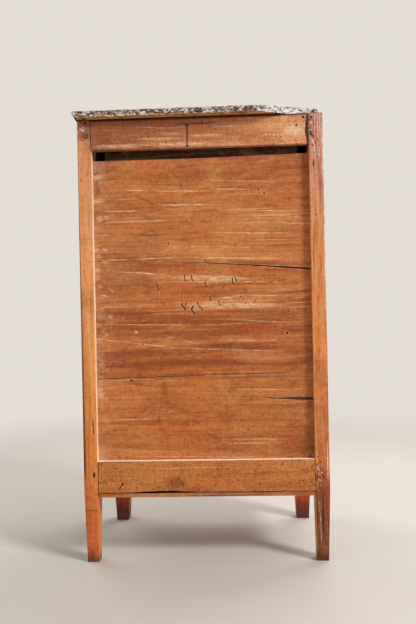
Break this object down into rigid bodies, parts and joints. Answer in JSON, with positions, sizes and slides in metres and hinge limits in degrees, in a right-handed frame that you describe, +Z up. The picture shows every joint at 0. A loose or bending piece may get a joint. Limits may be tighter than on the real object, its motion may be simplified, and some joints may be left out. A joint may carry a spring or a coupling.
{
  "type": "small chest of drawers",
  "caption": "Narrow wooden chest of inset drawers with ring pulls on square tapered legs, under a moulded marble top.",
  "frame": {"origin": "on the floor, under the middle of the marble top's outline", "axes": "+Z up, -Y towards the drawer fronts, +Y towards the boarded back, +X to the right as the front is faced"},
  "size_m": [0.515, 0.376, 0.9175],
  "materials": {
    "old_wood": "worn satin",
    "inner_wood": "raw matt",
    "marble": "worn polish",
    "brass": "aged satin"
  },
  "bodies": {
    "carcass": {"post_front_left": "old_wood", "post_front_right": "old_wood", "post_rear_left": "old_wood", "post_rear_right": "old_wood", "rail_side_top_left": "old_wood", "rail_side_top_right": "old_wood", "rail_side_bottom_left": "old_wood", "rail_side_bottom_right": "old_wood", "panel_side_left": "old_wood", "panel_side_right": "old_wood", "kicker_left": "inner_wood", "kicker_right": "inner_wood", "runner_1_left": "inner_wood", "runner_1_right": "inner_wood", "runner_2_left": "inner_wood", "runner_2_right": "inner_wood", "runner_3_left": "inner_wood", "runner_3_right": "inner_wood", "runner_4_left": "inner_wood", "runner_4_right": "inner_wood", "rail_back_top": "old_wood", "rail_back_bottom": "old_wood", "board_back_lower": "old_wood", "board_back_middle": "old_wood", "board_back_upper": "old_wood", "rail_front_top": "old_wood", "rail_front_bottom": "old_wood", "divider_1": "old_wood", "divider_2": "old_wood", "divider_3": "old_wood", "board_bottom": "old_wood", "marble_top": "marble"},
    "drawer_1": {"drawer_1_front": "old_wood", "drawer_1_side_left": "inner_wood", "drawer_1_side_right": "inner_wood", "drawer_1_back": "inner_wood", "drawer_1_bottom": "inner_wood", "pull_1_plate": "brass"},
    "ring_1": {"pull_1_ring": "brass"},
    "drawer_2": {"drawer_2_front": "old_wood", "drawer_2_side_left": "inner_wood", "drawer_2_side_right": "inner_wood", "drawer_2_back": "inner_wood", "drawer_2_bottom": "inner_wood", "pull_2_plate": "brass"},
    "ring_2": {"pull_2_ring": "brass"},
    "drawer_3": {"drawer_3_front": "old_wood", "drawer_3_side_left": "inner_wood", "drawer_3_side_right": "inner_wood", "drawer_3_back": "inner_wood", "drawer_3_bottom": "inner_wood", "pull_3_plate": "brass"},
    "ring_3": {"pull_3_ring": "brass"},
    "drawer_4": {"drawer_4_front": "old_wood", "drawer_4_side_left": "inner_wood", "drawer_4_side_right": "inner_wood", "drawer_4_back": "inner_wood", "drawer_4_bottom": "inner_wood", "pull_4_plate": "brass"},
    "ring_4": {"pull_4_ring": "brass"}
  },
  "joints": [
    {"name": "drawer_1_slide", "type": "slide", "parent": "carcass", "child": "drawer_1", "axis": [0, -1, 0], "range_m": [0, 0.24]},
    {"name": "ring_1_swing", "type": "hinge", "parent": "drawer_1", "child": "ring_1", "pos_m": [0, -0.1771, 0.8165], "axis": [-1, 0, 0], "range_deg": [0, 85]},
    {"name": "drawer_2_slide", "type": "slide", "parent": "carcass", "child": "drawer_2", "axis": [0, -1, 0], "range_m": [0, 0.24]},
    {"name": "ring_2_swing", "type": "hinge", "parent": "drawer_2", "child": "ring_2", "pos_m": [0, -0.1771, 0.643], "axis": [-1, 0, 0], "range_deg": [0, 85]},
    {"name": "drawer_3_slide", "type": "slide", "parent": "carcass", "child": "drawer_3", "axis": [0, -1, 0], "range_m": [0, 0.24]},
    {"name": "ring_3_swing", "type": "hinge", "parent": "drawer_3", "child": "ring_3", "pos_m": [0, -0.1771, 0.4585], "axis": [-1, 0, 0], "range_deg": [0, 85]},
    {"name": "drawer_4_slide", "type": "slide", "parent": "carcass", "child": "drawer_4", "axis": [0, -1, 0], "range_m": [0, 0.24]},
    {"name": "ring_4_swing", "type": "hinge", "parent": "drawer_4", "child": "ring_4", "pos_m": [0, -0.1771, 0.2665], "axis": [-1, 0, 0], "range_deg": [0, 85]}
  ]
}
